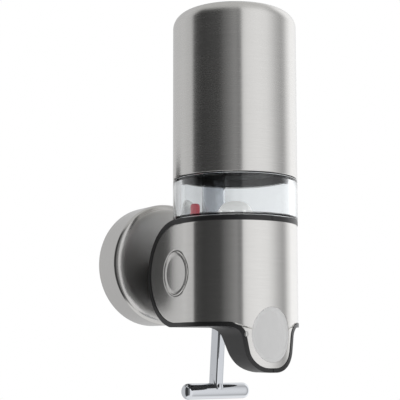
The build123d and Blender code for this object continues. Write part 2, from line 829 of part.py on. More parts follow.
with BuildPart() as lever_bushes:
    for way in (-1, 1):
        with BuildSketch(across(way * (boss_inner - bush_thick), pivot_y, pivot_z)):
            Circle(boss_radius)
            Circle(pin_radius + pin_gap, mode=Mode.SUBTRACT)
        extrude(amount=way * bush_thick)
save(lever_bushes.part, "lever_bushes")

# ------------------------------------------------------------------ buttons and latches
dish_radius = (button_radius**2 + button_dish**2) / (2 * button_dish)
latch_out = 14.0
arm_out = 9.0
crank_gap = 0.9
latch_margin = 0.5
crank_y = pivot_y + hub_radius + crank_gap
rear_clear = neck_width / 2 + socket_gap


def button(way):
    """Round dished button; way is +1 for the right cheek and -1 for the left one."""
    with BuildPart() as piece:
        with BuildSketch(across(way * button_back, button_y, button_z)):
            Circle(button_radius)
        extrude(amount=way * button_thick)
        outer = piece.faces().sort_by(Axis.X)[-1 if way > 0 else 0]
        fillet(outer.edges(), radius=button_round)
        with Locations((way * (button_back + button_thick - button_dish + dish_radius), button_y, button_z)):
            Sphere(dish_radius, mode=Mode.SUBTRACT)
    return piece.part


def latch(way):
    """Button stem, and the flat arm that runs back through the neck to its hook."""
    inner = arm_out - latch_thick
    with BuildPart() as piece:
        with BuildSketch(across(way * (latch_out - latch_thick), button_y, button_z)):
            Circle(stem_radius)
        extrude(amount=way * (button_back - latch_out + latch_thick))
        plates = [
            (latch_out - latch_thick, latch_out, button_y - stem_radius - latch_margin,
             crank_y + latch_thick),
            (inner, latch_out, crank_y, crank_y + latch_thick),
            (inner, arm_out, crank_y, hook_y),
            (inner, rear_clear + hook_bite, hook_y - hook_length, hook_y),
        ]
        for near, far, front, rear in plates:
            with BuildSketch(across(way * near, (front + rear) / 2, button_z)):
                Rectangle(rear - front, latch_height)
            extrude(amount=way * (far - near))
    return piece.part


for side, way in (("left", -1), ("right", 1)):
    save(button(way), f"release_button_{side}")
    save(latch(way), f"latch_{side}")
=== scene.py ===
import json
import math

import bmesh
import bpy
import numpy as np
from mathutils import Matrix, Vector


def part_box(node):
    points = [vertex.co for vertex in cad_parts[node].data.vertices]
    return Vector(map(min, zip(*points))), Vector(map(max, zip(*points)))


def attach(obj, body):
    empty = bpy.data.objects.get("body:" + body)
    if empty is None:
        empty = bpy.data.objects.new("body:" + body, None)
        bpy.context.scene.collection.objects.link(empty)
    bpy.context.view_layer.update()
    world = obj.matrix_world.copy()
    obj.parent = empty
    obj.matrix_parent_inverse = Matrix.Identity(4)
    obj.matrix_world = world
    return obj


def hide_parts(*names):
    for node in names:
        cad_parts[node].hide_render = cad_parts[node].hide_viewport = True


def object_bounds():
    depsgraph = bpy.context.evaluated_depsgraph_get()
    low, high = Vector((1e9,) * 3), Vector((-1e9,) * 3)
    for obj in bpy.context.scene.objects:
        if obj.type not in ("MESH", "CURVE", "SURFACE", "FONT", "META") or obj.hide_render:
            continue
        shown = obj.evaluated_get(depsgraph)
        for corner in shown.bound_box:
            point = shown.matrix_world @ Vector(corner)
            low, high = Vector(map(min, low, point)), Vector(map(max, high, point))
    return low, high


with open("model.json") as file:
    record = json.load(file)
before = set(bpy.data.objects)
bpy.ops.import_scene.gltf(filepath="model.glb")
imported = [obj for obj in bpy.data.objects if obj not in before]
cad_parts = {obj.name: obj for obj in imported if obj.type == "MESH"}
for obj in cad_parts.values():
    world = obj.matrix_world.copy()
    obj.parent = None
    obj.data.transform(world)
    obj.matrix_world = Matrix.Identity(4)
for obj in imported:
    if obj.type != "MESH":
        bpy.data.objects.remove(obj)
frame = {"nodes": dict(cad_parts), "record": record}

# Wall mounted soap dispenser: a steel drum on the wall, a black arm, a round steel body with a nose,
# a clear jar on the body, a deep steel cover over the jar and a chromed pull lever below.

CAD_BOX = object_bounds()
NODES = frame["nodes"]
MM = 0.001
SIDES = (("left", -1), ("right", 1))

# ------------------------------------------------------------------ places, all from the frame
cover_lo, cover_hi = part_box("top_cover")
jar_lo, jar_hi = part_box("reservoir")
ring_lo, ring_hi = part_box("top_ring")
shell_lo, shell_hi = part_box("body_shell")
pad_lo, pad_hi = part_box("thumb_pad")
plate_lo, plate_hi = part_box("wall_plate")
neck_lo, neck_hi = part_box("neck")
bar_lo, bar_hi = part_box("pull_bar")
button_lo, button_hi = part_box("release_button_right")

BODY_R = (cover_hi.x - cover_lo.x) / 2
BODY_Y = (cover_hi.y + cover_lo.y) / 2
BODY_AXIS = (0, BODY_Y, 0)
SKIN_R = shell_hi.x
SHELL_TOP = shell_hi.z
NOSE_TIP = shell_lo.z
BUTTON_Y = (button_lo.y + button_hi.y) / 2
BUTTON_Z = (button_lo.z + button_hi.z) / 2
BUTTON_R = (button_hi.z - button_lo.z) / 2
CHEEK_BOTTOM = 2 * BUTTON_Z - SHELL_TOP
CHEEK_R = SHELL_TOP - BUTTON_Z
PAD_Z = (pad_lo.z + pad_hi.z) / 2
BAR_Y = (bar_lo.y + bar_hi.y) / 2
BAR_Z = (bar_lo.z + bar_hi.z) / 2
BAR_R = (bar_hi.z - bar_lo.z) / 2
NECK_WIDTH, NECK_HEIGHT = 24.0 * MM, 30.0 * MM


# ------------------------------------------------------------------ mesh helpers
def points_of(*coordinates):
    """Array of points from their coordinates, each an array or one number for all of them."""
    return np.stack(np.broadcast_arrays(*coordinates), -1)


def mesh_object(name, points, faces, smooth=True):
    """New object from an array of points and an array of faces, left at the origin."""
    mesh = bpy.data.meshes.new(name)
    mesh.from_pydata(points.tolist(), [], np.asarray(faces).tolist())
    mesh.validate()
    mesh.polygons.foreach_set("use_smooth", np.full(len(mesh.polygons), smooth))
    mesh.update()
    piece = bpy.data.objects.new(name, mesh)
    bpy.context.scene.collection.objects.link(piece)
    return piece


def grid_faces(rows, columns, first=0, wrap_rows=False, wrap_columns=False):
    """Quads of a grid whose points are stored row by row from the point numbered first."""
    row = np.arange(rows if wrap_rows else rows - 1)
    column = np.arange(columns if wrap_columns else columns - 1)
    r, c = np.meshgrid(row, column, indexing="ij")
    r2 = (r + 1) % rows
    c2 = (c + 1) % columns
    quads = np.stack([r * columns + c, r * columns + c2, r2 * columns + c2, r2 * columns + c], -1)
    return quads.reshape(-1, 4) + first


def weld(piece, distance=1e-6):
    """Joins points that lie together, drops collapsed faces and turns all faces outward."""
    work = bmesh.new()
    work.from_mesh(piece.data)
    bmesh.ops.remove_doubles(work, verts=work.verts, dist=distance)
    bmesh.ops.dissolve_degenerate(work, edges=work.edges, dist=distance / 2)
    bmesh.ops.recalc_face_normals(work, faces=work.faces)
    work.to_mesh(piece.data)
    work.free()
    piece.data.update()


def ring_object(name, grid, wrap_rows=False):
    """Welded piece from rows of points, each row a closed ring. Wrapped rows join last to first."""
    rows, columns = grid.shape[:2]
    piece = mesh_object(name, grid.reshape(-1, 3), grid_faces(rows, columns, 0, wrap_rows, True))
    weld(piece)
    return piece


def arc(centre, radius, start, end, count):
    """Points on an arc in profile space, angles in degrees."""
    angle = np.radians(np.linspace(start, end, count))
    return points_of(centre[0] + radius * np.cos(angle), centre[1] + radius * np.sin(angle))


def rounded_profile(corners, radii, steps=6):
    """Polyline of corners, each rounded by a tangent arc of its own radius.

    The arc's centre lies on the bisector, radius / sin(half the corner's angle) from the corner.
    A corner that hardly turns stays as it is."""
    corners = [np.array(c, float) for c in corners]
    out = [corners[0]]
    for before, corner, after, radius in zip(corners, corners[1:], corners[2:], radii):
        u = (before - corner) / np.linalg.norm(before - corner)
        v = (after - corner) / np.linalg.norm(after - corner)
        half = math.acos(np.clip(u @ v, -1, 1)) / 2
        if half > math.radians(89):
            out.append(corner)
            continue
        centre = corner + (u + v) / np.linalg.norm(u + v) * radius / math.sin(half)
        start = corner + u * radius / math.tan(half) - centre
        end = corner + v * radius / math.tan(half) - centre
        first = math.atan2(start[1], start[0])
        turn = (math.atan2(end[1], end[0]) - first + math.pi) % (2 * math.pi) - math.pi
        angles = first + turn * np.linspace(0, 1, steps)
        out += list(centre + radius * points_of(np.cos(angles), np.sin(angles)))
    out.append(corners[-1])
    return np.array(out)


def rounded_rectangle(width, height, corner, count):
    """Closed outline of a rounded rectangle, its points spread evenly along its length."""
    x, z = width / 2 - corner, height / 2 - corner
    line = np.concatenate([arc(centre, corner, start, start + 90, 24) for centre, start in
                           (((x, z), 0), ((-x, z), 90), ((-x, -z), 180), ((x, -z), 270))])
    loop = np.concatenate([line, line[:1]])
    length = np.concatenate([[0], np.cumsum(np.linalg.norm(np.diff(loop, axis=0), axis=1))])
    even = np.linspace(0, length[-1], count, endpoint=False)
    return points_of(np.interp(even, length, loop[:, 0]), np.interp(even, length, loop[:, 1]))


def rings_between(inner, outer, count):
    """Rings that go from one closed line to another in equal shares."""
    share = np.linspace(0, 1, count)[:, None, None]
    return inner[None] * (1 - share) + outer[None] * share


def smooth_step(share):
    """Share from 0 to 1 eased at both ends: 3 s^2 - 2 s^3."""
    return share**2 * (3 - 2 * share)


def soft(value, power):
    """A sine or cosine raised to a power with its sign kept, as superellipses need it."""
    return np.sign(value) * np.abs(value) ** power


def revolve(name, profile, centre, axis="Z", segments=160, closed=True):
    """Surface of revolution: the point (r, h) of the profile goes to radius r and height h.

    With t running round the axis, the point is centre + r (cos t, sin t) across the axis and
    h along it. A closed profile joins its last point to its first."""
    t = np.linspace(0, 2 * np.pi, segments, endpoint=False)
    r, h = profile[:, :1], profile[:, 1:]
    a, b = r * np.cos(t), r * np.sin(t)
    grid = points_of(h, a, b) if axis == "X" else points_of(a, b, h)
    return ring_object(name, grid + np.array(centre), closed)


def sheet_wall(piece, thickness):
    """Gives a surface a sheet's thickness, inwards."""
    sheet = piece.modifiers.new("sheet", "SOLIDIFY")
    sheet.thickness = thickness
    sheet.offset = -1.0


def bevelled(piece, width, segments=3):
    """Small rounded edges wherever a piece turns by more than 50 degrees."""
    bevel = piece.modifiers.new("edges", "BEVEL")
    bevel.width = width
    bevel.segments = segments
    bevel.limit_method = "ANGLE"
    bevel.angle_limit = math.radians(50)
    bevel.harden_normals = False


def finished(piece, body, slot, material, *nodes):
    """Gives a piece its material and body, and hides the nodes it stands for. The slot is not used."""
    piece.data.materials.clear()
    piece.data.materials.append(material)
    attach(piece, body)
    if nodes:
        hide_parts(*nodes)


# ------------------------------------------------------------------ material helpers
class Nodes:
    """Short names for the node work that the materials and the world share."""

    def __init__(self, tree):
        self.tree = tree
        self.tree.nodes.clear()

    def node(self, kind, **settings):
        """Adds a node and sets its properties."""
        node = self.tree.nodes.new(kind)
        for key, value in settings.items():
            setattr(node, key, value)
        return node

    def link(self, source, target):
        """Joins an output to an input."""
        self.tree.links.new(source, target)

    def put(self, target, value):
        """Sets a socket to a number, or links it to another socket."""
        if hasattr(value, "is_output"):
            self.link(value, target)
        else:
            target.default_value = value

    def math(self, operation, a, b=0.0):
        """One operation on two values."""
        node = self.node("ShaderNodeMath", operation=operation)
        for socket, value in zip(node.inputs, (a, b)):
            self.put(socket, value)
        return node.outputs[0]

    def split(self, vector):
        """The three parts of a vector."""
        node = self.node("ShaderNodeSeparateXYZ")
        self.link(vector, node.inputs[0])
        return tuple(node.outputs)

    def vector(self, x, y, z):
        """A vector from its three parts."""
        node = self.node("ShaderNodeCombineXYZ")
        for socket, value in zip(node.inputs, (x, y, z)):
            self.put(socket, value)
        return node.outputs[0]

    def remap(self, value, low, high, to_low, to_high, smooth=False):
        """Carries a value's range over to another, in a straight line or a smooth step."""
        node = self.node("ShaderNodeMapRange")
        if smooth:
            node.interpolation_type = "SMOOTHSTEP"
        for socket, number in zip(list(node.inputs)[:5], (value, low, high, to_low, to_high)):
            self.put(socket, number)
        return node.outputs[0]

    def mix(self, factor, a, b):
        """Colour a where the factor is 0 and b where it is 1."""
        node = self.node("ShaderNodeMix", data_type="RGBA")
        self.put(node.inputs[0], factor)
        for socket, value in ((node.inputs[6], a), (node.inputs[7], b)):
            self.put(socket, value if hasattr(value, "is_output") else (*value, 1.0))
        return node.outputs[2]


class Shader(Nodes):
    """A new material with its Principled shader and the object's coordinates."""

    def __init__(self, name):
        self.material = bpy.data.materials.new(name)
        self.material.use_nodes = True
        super().__init__(self.material.node_tree)
        self.bsdf = self.node("ShaderNodeBsdfPrincipled")
        output = self.node("ShaderNodeOutputMaterial")
        self.link(self.bsdf.outputs["BSDF"], output.inputs["Surface"])
        self.place = self.node("ShaderNodeTexCoord").outputs["Object"]

    def scaled(self, x, y, z):
        """Object coordinates stretched by a factor along each axis."""
        node = self.node("ShaderNodeMapping")
        self.link(self.place, node.inputs["Vector"])
        node.inputs["Scale"].default_value = (x, y, z)
        return node.outputs[0]

    def noise(self, vector, scale=1.0, detail=4.0, rough=0.55):
        """Fractal noise from 0 to 1."""
        node = self.node("ShaderNodeTexNoise")
        self.put(node.inputs["Vector"], vector)
        node.inputs["Scale"].default_value = scale
        node.inputs["Detail"].default_value = detail
        node.inputs["Roughness"].default_value = rough
        return node.outputs["Fac"]

    def bump(self, height, strength, distance):
        """Relief on the whole surface, distance in metres."""
        node = self.node("ShaderNodeBump")
        node.inputs["Strength"].default_value = strength
        node.inputs["Distance"].default_value = distance
        self.link(height, node.inputs["Height"])
        self.link(node.outputs[0], self.bsdf.inputs["Normal"])

    def set(self, **sockets):
        """Sets or links the shader's own sockets, with _ for a space in a name."""
        for key, value in sockets.items():
            self.put(self.bsdf.inputs[key.replace("_", " ")], value)

    def fed_by(self, name):
        """The socket that already feeds one of the shader's inputs."""
        return self.bsdf.inputs[name].links[0].from_socket


def shade(colour, factor):
    """A colour made darker or lighter, no brighter than white."""
    return tuple(min(c * factor, 1.0) for c in colour)


def brushed_steel(name, grain, tangent, tint=(0.70, 0.692, 0.672), rough=0.25, stretch=0.9):
    """Brushed stainless steel. grain scales the noise so that it is long along the brush lines;
    tangent is the way the highlights smear, across the brush lines."""
    s = Shader(name)
    fine = s.noise(s.scaled(*grain), 1.0, 4.0, 0.7)
    long = s.noise(s.scaled(*[g * 0.25 for g in grain]), 1.0, 2.0, 0.5)
    smudge = s.noise(s.place, 38.0, 3.0, 0.55)
    streak = s.math("ADD", s.math("MULTIPLY", fine, 0.8), s.math("MULTIPLY", long, 0.2))
    s.set(Base_Color=s.mix(s.remap(streak, 0.3, 0.7, 0.0, 1.0), shade(tint, 0.95), shade(tint, 1.04)))
    s.set(Metallic=1.0, Anisotropic=stretch)
    worn = s.math("ADD", s.remap(streak, 0.3, 0.7, -0.03, 0.03), s.remap(smudge, 0.4, 0.75, 0.0, 0.025))
    s.set(Roughness=s.math("ADD", worn, rough))
    if tangent is not None:
        s.link(s.vector(*tangent), s.bsdf.inputs["Tangent"])
    s.bump(fine, 0.05, 0.00002)
    return s.material


def spun_steel(name, axis_point, along, tint=(0.66, 0.652, 0.635), rough=0.24, edge=None):
    """Steel with concentric brush lines round an axis that runs along X or Y. An edge, given as
    (start, end, extra roughness), is glossier than the face in front of it."""
    s = Shader(name)
    x, y, z = s.split(s.place)
    first, second, depth = (y, z, x) if along == "X" else (x, z, y)
    da = s.math("SUBTRACT", first, axis_point[0])
    db = s.math("SUBTRACT", second, axis_point[1])
    radius = s.math("SQRT", s.math("ADD", s.math("MULTIPLY", da, da), s.math("MULTIPLY", db, db)))
    lines = s.vector(s.math("MULTIPLY", radius, 3600.0), s.math("MULTIPLY", depth, 3600.0),
                     s.math("MULTIPLY", s.math("ADD", da, db), 60.0))
    fine = s.noise(lines, 1.0, 3.0, 0.6)
    cloud = s.noise(s.place, 40.0, 3.0, 0.5)
    worn = s.math("ADD", s.remap(fine, 0.3, 0.7, rough - 0.02, rough + 0.02),
                  s.remap(cloud, 0.4, 0.7, 0.0, 0.02))
    if edge is not None:
        start, end, extra = edge
        worn = s.math("ADD", worn, s.remap(depth, start, end, extra, 0.0, True))
    s.set(Base_Color=s.mix(s.remap(fine, 0.3, 0.7, 0.0, 1.0), shade(tint, 0.96), tint))
    s.set(Metallic=1.0, Roughness=worn)
    s.bump(fine, 0.02, 0.00001)
    return s.material


def chrome(name):
    """Polished chrome with faint wipe marks."""
    s = Shader(name)
    wipe = s.noise(s.scaled(60, 400, 160), 1.0, 4.0, 0.6)
    haze = s.noise(s.place, 70.0, 3.0, 0.5)
    s.set(Base_Color=s.mix(haze, (0.66, 0.685, 0.72), (0.71, 0.73, 0.76)), Metallic=1.0)
    s.set(Roughness=s.math("ADD", s.remap(wipe, 0.35, 0.7, 0.03, 0.07), s.remap(haze, 0.5, 0.8, 0.0, 0.04)))
    s.bump(wipe, 0.03, 0.00002)
    return s.material


def moulded(name, colour, rough=0.42, grain=0.10, speck=2400.0, variation=0.12):
    """Moulded plastic: fine spark texture, slight colour and gloss variation. Returns the shader,
    so that a finish built on it can add to it."""
    s = Shader(name)
    texture = s.noise(s.place, speck, 3.0, 0.6)
    cloud = s.noise(s.place, 45.0, 3.0, 0.5)
    s.set(Base_Color=s.mix(s.remap(cloud, 0.3, 0.7, 0.0, 1.0),
                           shade(colour, 1 - variation), shade(colour, 1 + variation)))
    s.set(Roughness=s.math("ADD", s.remap(texture, 0.3, 0.7, rough - 0.04, rough + 0.05),
                           s.remap(cloud, 0.4, 0.7, 0.0, 0.04)))
    s.bump(texture, grain, 0.00003)
    return s


def dark_plastic(name):
    """Black body plastic with a hairline mould seam down the middle of the nose."""
    s = moulded(name, (0.014, 0.014, 0.0145), 0.30, 0.05)
    x, y, _ = s.split(s.place)
    near = s.remap(s.math("ABSOLUTE", x), 0.22 * MM, 0.34 * MM, 1.0, 0.0, True)
    front = s.remap(y, BODY_Y - 1.0 * MM, BODY_Y + 1.0 * MM, 1.0, 0.0)
    seam = s.math("MULTIPLY", near, front)
    s.set(Base_Color=s.mix(seam, s.fed_by("Base Color"), (0.001, 0.001, 0.001)))
    s.set(Roughness=s.math("ADD", s.fed_by("Roughness"), s.math("MULTIPLY", seam, 0.5)))
    return s.material


def clear_plastic(name, tint=(0.965, 0.985, 0.995), rough=0.015):
    """Clear jar plastic with a trace of blue, faint flow lines and wipe marks."""
    s = Shader(name)
    flow = s.noise(s.scaled(30, 30, 110), 1.0, 3.0, 0.5)
    smear = s.noise(s.place, 90.0, 4.0, 0.6)
    s.set(Base_Color=s.mix(flow, tint, tuple(min(1.0, c + 0.012) for c in tint)))
    s.set(Roughness=s.remap(smear, 0.45, 0.75, rough, rough + 0.03))
    s.set(Transmission_Weight=1.0, IOR=1.49)
    s.bump(flow, 0.06, 0.00006)
    return s.material


def silicone(name, colour, rough=0.5):
    """Soft moulded rubber that lets a little light in."""
    s = moulded(name, colour, rough, 0.05, 900.0, 0.08)
    s.set(Subsurface_Weight=0.08, Subsurface_Radius=(0.002, 0.001, 0.001))
    return s


def painted_glow(shader, colour, strength):
    """Paints a glow into a piece: painted light in place of the light that would reach it through the clear
    jar.
    """
    shader.set(Emission_Color=(*colour, 1.0), Emission_Strength=strength)
    return shader.material


# the wraps' brush lines run level round the body, so their highlights smear up and down
LEVEL = (90.0, 90.0, 2600.0)
UP = (0.0, 0.0, 1.0)
EVEN = (700.0, 700.0, 700.0)
# where the plate's face ends and its edge begins, and how much rougher the face is
PLATE_EDGE = (plate_lo.y + 0.1 * MM, plate_lo.y + 0.9 * MM, 0.27)

STEEL_WRAP = brushed_steel("steel_brushed_round", LEVEL, UP)
STEEL_SHELL = brushed_steel("steel_brushed_shell", LEVEL, UP, (0.725, 0.717, 0.697), 0.21)
STEEL_PLATE = spun_steel("steel_spun_plate", (0.0, 0.0), "Y", (0.60, 0.593, 0.577), 0.17, PLATE_EDGE)
STEEL_BUTTON = spun_steel("steel_spun_button", (BUTTON_Y, BUTTON_Z), "X", rough=0.14)
ZINC = brushed_steel("steel_zinc_plain", EVEN, None, (0.60, 0.60, 0.58), 0.33, 0.0)
CHROME = chrome("chrome_polished")
BLACK = dark_plastic("plastic_black_satin")
CLEAR = clear_plastic("plastic_clear")
CLEAR_TUBE = clear_plastic("plastic_clear_tube", (0.70, 0.715, 0.74), 0.05)
PAD = moulded("plastic_pad_matt", (0.69, 0.69, 0.685), 0.46, 0.16, 2000.0, 0.03).material
LIGHT = moulded("plastic_light_grey", (0.60, 0.60, 0.59), 0.35, 0.05).material
WHITE = moulded("plastic_white", (0.78, 0.78, 0.76), 0.38, 0.06).material
FOAM = moulded("foam_black", (0.02, 0.02, 0.02), 0.85, 0.6, 700.0, 0.2).material
# painted light: the intake dome, the nut and the red valve glow, in place of light through the jar
INTAKE = painted_glow(moulded("plastic_intake_white", (0.70, 0.70, 0.69), 0.32, 0.05), (0.62, 0.62, 0.61), 0.80)
RED = painted_glow(silicone("silicone_red", (0.62, 0.09, 0.11)), (0.55, 0.12, 0.15), 0.40)
GREY_SILICONE = silicone("silicone_grey", (0.25, 0.255, 0.26)).material

BY_SLOT = {
    "brushed_skin": STEEL_SHELL, "polished": CHROME, "dark_plastic": BLACK, "clear_jar": CLEAR_TUBE,
    "light_plastic": LIGHT, "pad_plastic": PAD, "white_plastic": WHITE, "red_silicone": RED,
    "grey_silicone": GREY_SILICONE, "plain_steel": ZINC, "foam": FOAM,
}
BY_NODE = {"intake_dome": INTAKE, "reservoir_nut": INTAKE}
for sub in frame["record"]["subparts"]:
    for slot in NODES[sub["node"]].material_slots:
        slot.material = BY_NODE.get(sub["node"], BY_SLOT[sub["material_slot"]])


# ------------------------------------------------------------------ cover
def make_cover():
    """Deep drawn cup: straight wall, round shoulder, a crown that falls with the square of the radius.

    Outer profile: hem, wall, quarter arc, crown z = top - crown (r / r0)^2. The inside is the same
    line drawn in to a radius one sheet less and lowered by one sheet."""
    wall, shoulder, crown, hem_gap = 1.0 * MM, 8.7 * MM, 0.15 * MM, 0.4 * MM
    low, top = cover_lo.z + hem_gap, cover_hi.z
    lip = 0.8 * wall
    hem = [(BODY_R - wall, low + 0.3 * wall), (BODY_R - 0.9 * wall, low)]
    hem_arc = arc((BODY_R - lip, low + lip), lip, -90, 0, 9)
    flat = BODY_R - shoulder
    shoulder_arc = arc((flat, top - crown - shoulder), shoulder, 0, 90, 22)
    r = np.linspace(flat, 0, 14)[1:]
    outer = np.concatenate([shoulder_arc, points_of(r, top - crown * (r / flat) ** 2)])
    inner = outer[::-1] * [(BODY_R - wall) / BODY_R, 1] - [0, wall]
    piece = revolve("cover_shell", np.concatenate([hem, hem_arc, outer, inner]), BODY_AXIS, segments=224)
    finished(piece, "cover", "brushed_skin", STEEL_WRAP, "top_cover")


# ------------------------------------------------------------------ reservoir
def make_jar():
    """Clear jar: flush band with softened edges, a step in to the part that the cover hides. Its
    floor is open in the middle for the pump's neck."""
    opening, step_in, wall, band_wall = 6.0 * MM, 3.0 * MM, 2.0 * MM, 4.6 * MM
    band_top = cover_lo.z - 0.1 * MM
    floor = jar_lo.z + 1.2 * MM
    neck = BODY_R - step_in
    bore, band_bore = neck - wall, BODY_R - band_wall
    slope_foot = band_top - 4.6 * MM
    corners = [(opening, jar_lo.z), (BODY_R, jar_lo.z), (BODY_R, band_top), (neck, band_top),
               (neck, jar_hi.z), (bore, jar_hi.z), (bore, band_top), (band_bore, slope_foot),
               (band_bore, floor), (opening, floor)]
    radii = [0.5 * MM, 0.5 * MM, 0.8 * MM, 0.9 * MM, 0.9 * MM, 1.2 * MM, 1.2 * MM, 1.6 * MM]
    piece = revolve("reservoir_jar", rounded_profile(corners, radii), BODY_AXIS, segments=224)
    finished(piece, "wall_mount", "clear_jar", CLEAR, "reservoir")


def make_ring():
    """Black ring under the jar, with rounded edges."""
    inner = BODY_R - 7.0 * MM
    corners = [(inner, ring_lo.z), (BODY_R, ring_lo.z), (BODY_R, ring_hi.z), (inner, ring_hi.z)]
    profile = rounded_profile(corners, [0.35 * MM, 0.6 * MM])
    piece = revolve("reservoir_ring", profile, BODY_AXIS, segments=200)
    finished(piece, "wall_mount", "dark_plastic", BLACK, "top_ring")


# ------------------------------------------------------------------ steel skin
def skin_point(s, z, radius):
    """Point on the wrap: s is the way round from the middle of the front, z the height.

    Up to a quarter turn each side it follows the cylinder; beyond that it runs straight back."""
    quarter = radius * np.pi / 2
    angle = np.clip(s, -quarter, quarter) / radius
    beyond = np.maximum(np.abs(s) - quarter, 0)
    return points_of(radius * np.sin(angle), BODY_Y - radius * np.cos(angle) + beyond, z)


def tongue_edge(x):
    """Height of the skin's bottom edge at a distance x from the middle: cheek line, concave
    shoulder arc, straight side, convex corner arc and flat tip, all tangent."""
    half_top, half_tip, root_round, tip_round = 16.7 * MM, 12.2 * MM, 9.3 * MM, 12.0 * MM
    past_cheek = 60 * MM
    corners = [(past_cheek, CHEEK_BOTTOM), (half_top, CHEEK_BOTTOM), (half_tip, NOSE_TIP),
               (-half_tip, NOSE_TIP)]
    line = rounded_profile(corners, [root_round, tip_round], 40)
    line = line[line[:, 0] > -half_tip * 0.2][::-1]
    return np.interp(np.abs(x), line[:, 0], line[:, 1])


def nose_rings(s_mid, z_join):
    """Rings of (s, z) from the oval window for the pad out to the nose's outline."""
    gap = 0.03 * MM
    half_x, half_z = pad_hi.x + gap, pad_hi.z - PAD_Z + gap
    low = tongue_edge(SKIN_R * np.sin(s_mid / SKIN_R))
    side = z_join + (low[0] - z_join) * np.linspace(0, 1, 16)
    border = np.concatenate([
        points_of(s_mid, z_join), points_of(s_mid[-1], side[1:]),
        points_of(s_mid, low)[::-1][1:], points_of(s_mid[0], side[::-1][1:-1])])
    angle = np.arctan2((border[:, 1] - PAD_Z) / half_z, border[:, 0] / half_x)
    oval = points_of(SKIN_R * np.arcsin(half_x * np.cos(angle) / SKIN_R), PAD_Z + half_z * np.sin(angle))
    return rings_between(oval, border, 18)


def cheek_rings(s_side, z_upper, z_join):
    """Rings of (s, z) from the round window for the button out to the cheek's outline, whose back
    is a half circle about the button."""
    hole = BUTTON_R + 0.3 * MM
    s_button = SKIN_R * np.pi / 2 + (BUTTON_Y - BODY_Y)
    low = tongue_edge(SKIN_R * math.sin(s_side / SKIN_R))
    front = np.concatenate([z_upper[::-1], (z_join + (low - z_join) * np.linspace(0, 1, 16))[1:]])
    level = np.linspace(s_side, s_button, 26)[1:]
    border = np.concatenate([
        points_of(s_side, front), points_of(level, CHEEK_BOTTOM),
        arc((s_button, BUTTON_Z), CHEEK_R, -90, 90, 90)[1:-1], points_of(level[::-1], SHELL_TOP)])
    angle = np.arctan2(border[:, 1] - BUTTON_Z, border[:, 0] - s_button)
    circle = points_of(s_button + hole * np.cos(angle), BUTTON_Z + hole * np.sin(angle))
    return rings_between(circle, border, 18)


def make_shell():
    """Steel wrap in patches that share their border points and are welded.

    Upper front: grid over s and z. Shoulders: grid down to the tongue's edge. Nose and cheeks:
    rings that go from a window to the outline."""
    front_depth, nose_reach, above_pad = 12.0 * MM, 24.0 * MM, 6.0 * MM
    s_side = SKIN_R * math.acos(front_depth / SKIN_R)
    z_join = pad_hi.z + above_pad
    s_mid = np.linspace(-nose_reach, nose_reach, 81)
    s_wing = np.linspace(nose_reach, s_side, 41)
    s_all = np.concatenate([-s_wing[::-1], s_mid[1:-1], s_wing])
    z_upper = np.linspace(z_join, SHELL_TOP, 40)
    depth = np.linspace(0, 1, 16)[:, None]
    shoulder_z = z_join + (tongue_edge(SKIN_R * np.sin(s_wing / SKIN_R)) - z_join) * depth
    nose = nose_rings(s_mid, z_join)
    cheek = cheek_rings(s_side, z_upper, z_join)

    grids = [(skin_point(s_all[None, :], z_upper[:, None], SKIN_R), False),
             (skin_point(-s_wing[None, :], shoulder_z, SKIN_R), False),
             (skin_point(s_wing[None, :], shoulder_z, SKIN_R), False),
             (skin_point(nose[..., 0], nose[..., 1], SKIN_R), True),
             (skin_point(-cheek[..., 0], cheek[..., 1], SKIN_R), True),
             (skin_point(cheek[..., 0], cheek[..., 1], SKIN_R), True)]
    points, faces, first = [], [], 0
    for grid, closed in grids:
        rows, columns = grid.shape[:2]
        points.append(grid.reshape(-1, 3))
        faces.append(grid_faces(rows, columns, first, wrap_columns=closed))
        first += rows * columns

    piece = mesh_object("body_skin", np.concatenate(points), np.concatenate(faces))
    weld(piece, 2e-6)
    sheet_wall(piece, 0.9 * MM)
    bevelled(piece, 0.22 * MM)
    finished(piece, "wall_mount", "brushed_skin", STEEL_SHELL, "body_shell")


def make_pad():
    """Oval matt pad: rings that shrink from the rim to a point. Its front follows the body's
    cylinder and falls 0.55 mm below the rim in a smooth step over the outer sixth of the oval."""
    rim_gap, fall, fall_share, thickness = 0.06 * MM, 0.55 * MM, 0.16, 0.4 * MM
    half_x, half_z = pad_hi.x, pad_hi.z - PAD_Z
    share = np.linspace(1.0, 0.0, 48)[:, None]
    t = np.linspace(0, 2 * np.pi, 160, endpoint=False)
    x = half_x * share * np.cos(t)
    radius = SKIN_R - rim_gap - fall * smooth_step(np.clip((1 - share) / fall_share, 0, 1))
    front = points_of(x, BODY_Y - np.sqrt(radius**2 - x**2), PAD_Z + half_z * share * np.sin(t))
    back = front[:1] + [0, thickness, 0]
    middle = np.broadcast_to([0, back[..., 1].max(), PAD_Z], back.shape)
    piece = ring_object("thumb_dish", np.concatenate([middle, back, front]))
    finished(piece, "wall_mount", "pad_plastic", PAD, "thumb_pad")


